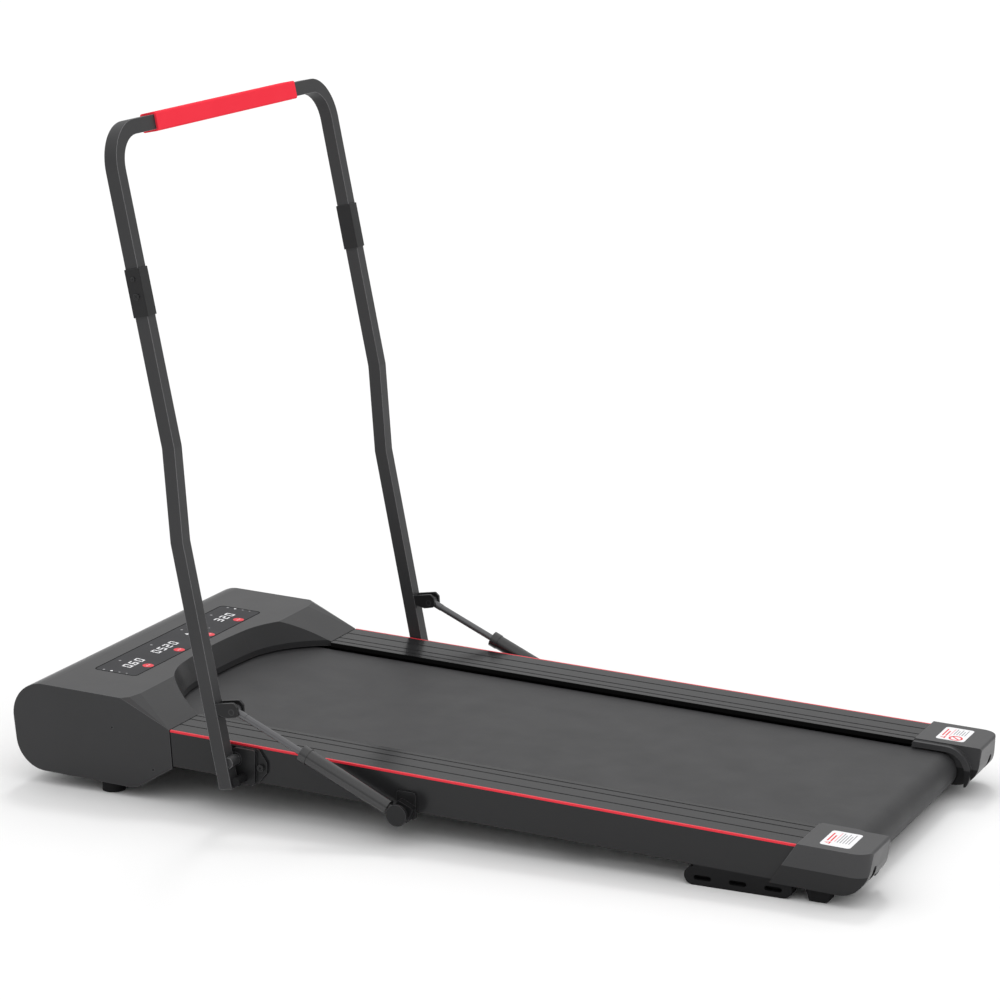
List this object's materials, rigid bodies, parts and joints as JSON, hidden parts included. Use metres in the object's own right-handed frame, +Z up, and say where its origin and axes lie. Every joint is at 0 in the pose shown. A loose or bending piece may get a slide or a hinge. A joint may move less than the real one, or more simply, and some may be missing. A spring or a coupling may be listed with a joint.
{
  "type": "folding walking treadmill",
  "caption": "Flat folding walking treadmill with a motor hood, a low deck between grooved side rails and a fold-down handrail on gas struts.",
  "frame": {"origin": "centre of the machine's box, on the floor", "axes": "+Z up, +Y forward towards the motor hood, +X to the walker's right"},
  "size_m": [0.666, 1.3206, 0.9867],
  "materials": {
    "frame_steel": "satin black paint",
    "rail_paint": "satin dark grey paint",
    "post_paint": "fine textured dark grey paint",
    "bracket_steel": "satin black paint",
    "bright_steel": "ground bright",
    "chrome_rod": "polished",
    "roller_steel": "turned",
    "cast_metal": "machined",
    "motor_paint": "gloss black paint",
    "hood_plastic": "fine satin grain",
    "cap_plastic": "matte",
    "black_plastic": "matte",
    "lens_plastic": "polished, dark",
    "key_red": "satin",
    "trim_red": "gloss",
    "grip_foam": "soft matte foam",
    "belt_rubber": "fine woven grain",
    "black_rubber": "matte",
    "board_wood": "black sealed face",
    "circuit_green": "satin",
    "switch_red": "gloss"
  },
  "bodies": {
    "base": {"left_frame_tube": "frame_steel", "right_frame_tube": "frame_steel", "cross_members": "frame_steel", "deck_board": "board_wood", "deck_cushions": "black_rubber", "running_belt": "belt_rubber", "left_side_rail": "rail_paint", "right_side_rail": "rail_paint", "rail_supports": "black_plastic", "left_trim_strip": "trim_red", "right_trim_strip": "trim_red", "left_end_cap": "cap_plastic", "right_end_cap": "cap_plastic", "tension_bolts": "bright_steel", "rear_axle": "bright_steel", "front_axle": "bright_steel", "roller_bearings": "bright_steel", "drive_belt": "black_rubber", "motor_housing": "motor_paint", "motor_bracket": "bracket_steel", "motor_hood": "hood_plastic", "belly_pan": "black_plastic", "display_lens": "lens_plastic", "display_board": "circuit_green", "touch_keys": "key_red", "control_box": "cast_metal", "inlet_panel": "black_plastic", "power_inlet": "black_plastic", "front_feet": "black_rubber", "rear_feet": "black_rubber", "left_foot_bar": "black_rubber", "right_foot_bar": "black_rubber", "wheel_forks": "bracket_steel", "pivot_brackets": "bracket_steel", "pivot_pins": "bright_steel", "stop_pins": "black_rubber", "strut_anchors": "bracket_steel", "bracket_bolts": "bracket_steel", "hood_screws": "bright_steel"},
    "handrail": {"left_post": "post_paint", "right_post": "post_paint", "pivot_barrels": "post_paint", "upper_bar": "post_paint", "post_sleeves": "black_plastic", "foam_grip": "grip_foam", "sleeve_screws": "bracket_steel", "strut_brackets": "bracket_steel", "strut_screws": "bracket_steel"},
    "left_cylinder": {"left_strut_cylinder": "motor_paint"},
    "right_cylinder": {"right_strut_cylinder": "motor_paint"},
    "left_rod": {"left_strut_rod": "chrome_rod"},
    "right_rod": {"right_strut_rod": "chrome_rod"},
    "front_drum": {"front_roller": "roller_steel", "roller_pulley": "cast_metal"},
    "rear_drum": {"rear_roller": "roller_steel"},
    "motor_rotor": {"motor_shaft": "bright_steel", "motor_pulley": "cast_metal"},
    "left_wheel_body": {"left_wheel": "black_rubber"},
    "right_wheel_body": {"right_wheel": "black_rubber"},
    "switch_rocker": {"rocker_switch": "switch_red"}
  },
  "joints": [
    {"name": "handle_fold", "type": "hinge", "parent": "base", "child": "handrail", "pos_m": [0, 0.28362, 0.08605], "axis": [1, 0, 0], "range_deg": [0, 100]},
    {"name": "left_strut_swing", "type": "hinge", "parent": "base", "child": "left_cylinder", "pos_m": [-0.3189, 0.01712, 0.04703], "axis": [1, 0, 0], "range_deg": [-19.43, 0]},
    {"name": "right_strut_swing", "type": "hinge", "parent": "base", "child": "right_cylinder", "pos_m": [0.3189, 0.01712, 0.04703], "axis": [1, 0, 0], "range_deg": [-19.43, 0]},
    {"name": "left_strut_slide", "type": "slide", "parent": "left_cylinder", "child": "left_rod", "axis": [0, 0.9113, 0.4116], "range_m": [-0.09031, 0]},
    {"name": "right_strut_slide", "type": "slide", "parent": "right_cylinder", "child": "right_rod", "axis": [0, 0.9113, 0.4116], "range_m": [-0.09031, 0]},
    {"name": "front_roller_spin", "type": "hinge", "parent": "base", "child": "front_drum", "pos_m": [0, 0.49205, 0.07732], "axis": [1, 0, 0], "continuous": true},
    {"name": "rear_roller_spin", "type": "hinge", "parent": "base", "child": "rear_drum", "pos_m": [0, -0.59729, 0.03928], "axis": [1, 0, 0], "continuous": true},
    {"name": "motor_spin", "type": "hinge", "parent": "base", "child": "motor_rotor", "pos_m": [0, 0.57814, 0.07632], "axis": [1, 0, 0], "continuous": true},
    {"name": "left_wheel_spin", "type": "hinge", "parent": "base", "child": "left_wheel_body", "pos_m": [-0.2625, 0.62454, 0.04141], "axis": [1, 0, 0], "continuous": true},
    {"name": "right_wheel_spin", "type": "hinge", "parent": "base", "child": "right_wheel_body", "pos_m": [0.2625, 0.62454, 0.04141], "axis": [1, 0, 0], "continuous": true},
    {"name": "power_switch", "type": "hinge", "parent": "base", "child": "switch_rocker", "pos_m": [-0.184, 0.64996, 0.08702], "axis": [1, 0, 0], "range_deg": [0, 16]}
  ],
  "couplings": [
    {"joint": "left_strut_swing", "follows": "handle_fold", "ratio": -0.19333},
    {"joint": "right_strut_swing", "follows": "handle_fold", "ratio": -0.19333},
    {"joint": "left_strut_slide", "follows": "handle_fold", "m_per_rad": -0.051458},
    {"joint": "right_strut_slide", "follows": "handle_fold", "m_per_rad": -0.051458},
    {"joint": "rear_roller_spin", "follows": "front_roller_spin", "ratio": 1},
    {"joint": "motor_spin", "follows": "front_roller_spin", "ratio": 3}
  ]
}
